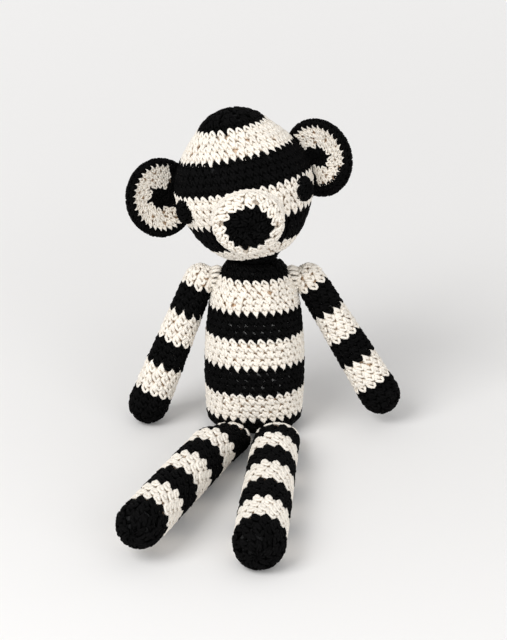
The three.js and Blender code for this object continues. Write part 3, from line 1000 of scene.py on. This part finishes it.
def corner_stitch(skin, turn, run, ahead):
    """One sewing stitch between a skin and the head at the place where they meet."""
    spot = skin.point(turn, run, SINK)
    along = (skin.point(turn + SEWING_STEP, run, SINK) - spot).normalized()
    up_skin = (skin.point(turn, run - ahead, SINK) - spot).normalized()
    local = head_frame.inverted() @ spot
    out = on_head(local.x, local.y, 0).normalized()
    over_head = (skin.point(turn, run, SINK + SEWING_REACH) - spot).normalized()
    over_head = (over_head - out * over_head.dot(out)).normalized()
    return sewn(spot, up_skin, over_head, along)


# Muzzle
muzzle_way = on_head(0, -math.cos(MUZZLE_PITCH), -math.sin(MUZZLE_PITCH))
muzzle_tip = head_frame @ Vector((0, 0, MUZZLE_HEIGHT)) + MUZZLE_TIP * muzzle_way
muzzle_frame = framed(muzzle_tip, muzzle_way, on_head(1, 0, 0))
muzzle_dome = ellipse(-MUZZLE_DOME, MUZZLE_RADIUS, MUZZLE_DOME, 90, 180)
muzzle_skin = Skin(muzzle_frame, [(MUZZLE_RADIUS, -MUZZLE_DEEP), *muzzle_dome], shaped=pressed_muzzle)
nose_run = muzzle_skin.run_in_to(NOSE_RADIUS)
muzzle_bands = [("cream", 0.0, nose_run), ("black", nose_run, muzzle_skin.length)]


def muzzle_sewing():
    """Sewing stitches round the muzzle, and the edge of its last round along them."""
    seam = []
    edge = []
    for at in range(MUZZLE_SEWING):
        turn = at / MUZZLE_SEWING
        run = meeting(muzzle_skin, turn, nose_run, 0)
        if run is not None:
            seam.append(corner_stitch(muzzle_skin, turn, run, -MM))
            edge.append((*(muzzle_skin.point(turn, run, SINK + MUZZLE_EDGE / 2) / MM), 1.0))
    seam.append(strand(edge, MUZZLE_EDGE, closed=True))
    yarn_piece("muzzle_sewing", seam, "head", "muzzle_seam", "cream")


crochet(
    "muzzle", "head", "muzzle_shell", muzzle_skin, muzzle_bands, MUZZLE_GAUGE, head_skin.holds, firmness=1.0
)
stuffing("muzzle_stuffing", "head", muzzle_skin, MUZZLE_FIBRE_CLEAR)
muzzle_sewing()


# Eyes and ears


def eye(side):
    """A crocheted dome on the head."""
    way = on_head(SIDES[side] * math.sin(EYE_TURN[side]), -math.cos(EYE_TURN[side]), 0)
    middle = head_frame @ Vector((0, 0, EYE_HEIGHT)) + head_surface.radius_up(EYE_HEIGHT) * way
    place = framed(middle + EYE_TALL * way, -way, on_head(0, 0, 1))
    outline = [*ellipse(EYE_TALL, EYE_RADIUS, EYE_TALL, 0, 90), (EYE_RADIUS, EYE_TALL + EYE_SUNK)]
    skin = Skin(place, outline, EYE_SINK)
    bands = [("black", 0.0, skin.length)]
    crochet(f"{side}_eye", "head", f"{side}_eye", skin, bands, EYE_GAUGE, head_skin.holds)


def ear_dye(side):
    """The cream ring is open towards the head, where a black strip runs in to the ear's middle."""

    def dyed(yarn, turn, radius):
        to_head = radius * math.cos(2 * math.pi * turn)
        up = -SIDES[side] * radius * math.sin(2 * math.pi * turn)
        black_from = EAR_BLACK_FROM[side][0 if up > 0 else 1]
        open_way = to_head > black_from or (to_head > 0 and abs(up) < EAR_CREAM_FROM)
        rim = up < EAR_WIDE_RIM_BELOW and radius > EAR_WIDE_RIM[side]
        return "black" if open_way or rim else yarn

    return dyed


def ear(side):
    """A cupped disc, sewn to the head on both of its faces."""
    sign = SIDES[side]
    out = head_surface.radius_up(EAR_UP[side]) + EAR_OFF[side]
    middle = head_frame @ Vector((sign * out, EAR_BACK, EAR_UP[side]))
    way = on_head(-sign * math.sin(EAR_TURN), -math.cos(EAR_TURN), 0)
    to_head = on_head(-sign * math.cos(EAR_TURN), math.sin(EAR_TURN), 0)
    skin = Skin(framed(middle, way, to_head), ear_outline())
    ring = (skin.run_in_to(EAR_CREAM_TO), skin.run_in_to(EAR_CREAM_FROM))
    bands = [("black", 0.0, ring[0]), ("cream", *ring), ("black", ring[1], skin.length)]
    crochet(f"{side}_ear", "head", f"{side}_ear", skin, bands, EAR_GAUGE, head_skin.holds, ear_dye(side))
    rim = skin.length / 2
    seam = []
    for at in range(EAR_SEWING):
        turn = at / EAR_SEWING
        for first, ahead in ((0, MM), (skin.length, -MM)):
            run = meeting(skin, turn, first, rim)
            if run is not None:
                seam.append(corner_stitch(skin, turn, run, ahead))
    yarn_piece(f"{side}_ear_sewing", seam, "head", f"{side}_ear_seam", "black")


# Arms and legs


def limb(name, skin, stripes, gauge):
    """A stuffed tube and the knot that ties it on."""
    bands = striped_bands(skin, stripes, "cream")
    crochet(name, name, f"{name}_shell", skin, bands, gauge, filling=0.35)
    stuffing(f"{name}_stuffing", name, skin)
    knot(f"{name}_sewing_knot", f"{name}_tie", f"{name}_knot", pivot_of(f"{name}_swing"), "cream")


def shoulder_sewing(side):
    """Sewing stitches all round, from the torso to the top of an arm."""
    pivot = torso_frame.inverted() @ pivot_of(f"{side}_arm_swing")
    out = Vector((pivot.x, pivot.y, 0)).normalized()
    up = Vector((0, 0, 1))
    strands = []
    for at in range(SHOULDER_STITCHES):
        angle = 2 * math.pi * at / SHOULDER_STITCHES
        rim = up.cross(out) * math.cos(angle) + up * math.sin(angle)
        spot = pivot + rim * SHOULDER_RING
        turn = math.atan2(spot.y, spot.x) / (2 * math.pi)
        first = torso_frame @ (spot - out * SHOULDER_DEEP)
        last = torso_skin.point(turn, torso_skin.run_at(spot.z))
        bow = (first + last) / 2 + torso_frame.to_3x3() @ rim * SHOULDER_BOW
        strands.append(even_strand((first, bow, last), SHOULDER_YARN))
    yarn_piece(f"{side}_shoulder_sewing", strands, "torso", None, "cream")


def arm(side):
    """An arm, over the outline of its node."""
    place = arm_frame(side)
    skin = Skin(place, node_outline(f"{side}_arm_shell", place))
    limb(f"{side}_arm", skin, ARM_STRIPES, BODY_GAUGE)


def leg(side):
    """A leg, pressed flat at its hip."""
    skin = Skin(leg_frame(side), leg_outline(side), shaped=pressed_hip)
    limb(f"{side}_leg", skin, LEG_STRIPES, LEG_GAUGE)


for side in SIDES:
    eye(side)
    ear(side)
    shoulder_sewing(side)
    arm(side)
    leg(side)


# Stage


def seen(tree):
    """One where the surface is seen directly or in a reflection, and zero where it only gives light."""
    path = node_of(tree, "ShaderNodeLightPath").outputs
    straight = maths(tree, "ADD", path["Is Camera Ray"], path["Is Glossy Ray"])
    return maths(tree, "ADD", straight, path["Is Transmission Ray"])


def floor_material():
    """A pale floor with a painted glow that grows brighter away from the bear, as the camera sees it,
    leaving a painted shadow near the bear.
    """
    material, tree, shader = new_material("pale_floor")
    spot = node_of(tree, "ShaderNodeTexCoord").outputs["Object"]
    away = node_of(tree, "ShaderNodeVectorMath", {"Vector": spot}, operation="LENGTH").outputs["Value"]
    reach = {"Value": away, "From Min": FLOOR_NEAR, "From Max": FLOOR_FAR}
    lift = {"To Min": FLOOR_LIFT_NEAR, "To Max": FLOOR_LIFT_FAR}
    lifted = node_of(tree, "ShaderNodeMapRange", {**reach, **lift}).outputs["Result"]
    finish = {
        "Base Color": FLOOR_TONE,
        "Roughness": 0.8,
        "Emission Color": WHITE,
        "Emission Strength": maths(tree, "MULTIPLY", seen(tree), lifted),
    }
    feed(tree, shader, finish)
    return material


def stage():
    """The floor that the bear sits on."""
    bm = bmesh.new()
    bmesh.ops.create_grid(bm, x_segments=1, y_segments=1, size=FLOOR_HALF)
    floor = add_object("floor", finished(bm, "floor"))
    floor.data.materials.append(floor_material())
    floor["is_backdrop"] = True


def area_light(name, place, size, power):
    """A square lamp that faces the bear."""
    light = bpy.data.lights.new(name, "AREA")
    light.size = size
    light.energy = power
    lamp = add_object(name, light)
    lamp.location = place
    lamp.rotation_euler = (LAMP_AIM - place).to_track_quat("-Z", "Y").to_euler()


def studio():
    """A white room and two soft lamps."""
    world = bpy.data.worlds.new("studio")
    world.use_nodes = True
    tree = world.node_tree
    lifted = maths(tree, "MULTIPLY", seen(tree), WORLD_LIFT)
    sky = {"Color": WHITE, "Strength": maths(tree, "ADD", lifted, WORLD_LIGHT)}
    feed(tree, tree.nodes["Background"], sky)
    bpy.context.scene.world = world
    for name, lamp in LAMPS.items():
        area_light(name, *lamp)


def camera():
    """The view from in front and above."""
    lens = bpy.data.cameras.new("camera")
    lens.lens = VIEW_LENS
    viewer = add_object("camera", lens)
    pitch = math.radians(VIEW_PITCH)
    back = Vector((0, -math.cos(pitch), math.sin(pitch)))
    viewer.location = VIEW_MIDDLE + VIEW_DISTANCE * back
    viewer.rotation_euler = (math.radians(90 - VIEW_PITCH + VIEW_TILT), 0, 0)
    bpy.context.scene.camera = viewer


stage()
studio()
camera()
bpy.context.scene.view_settings.view_transform = "Standard"

boxes = {"cad": cad_box, "visual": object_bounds()}
{label: [list(corner) for corner in box] for label, box in boxes.items()}
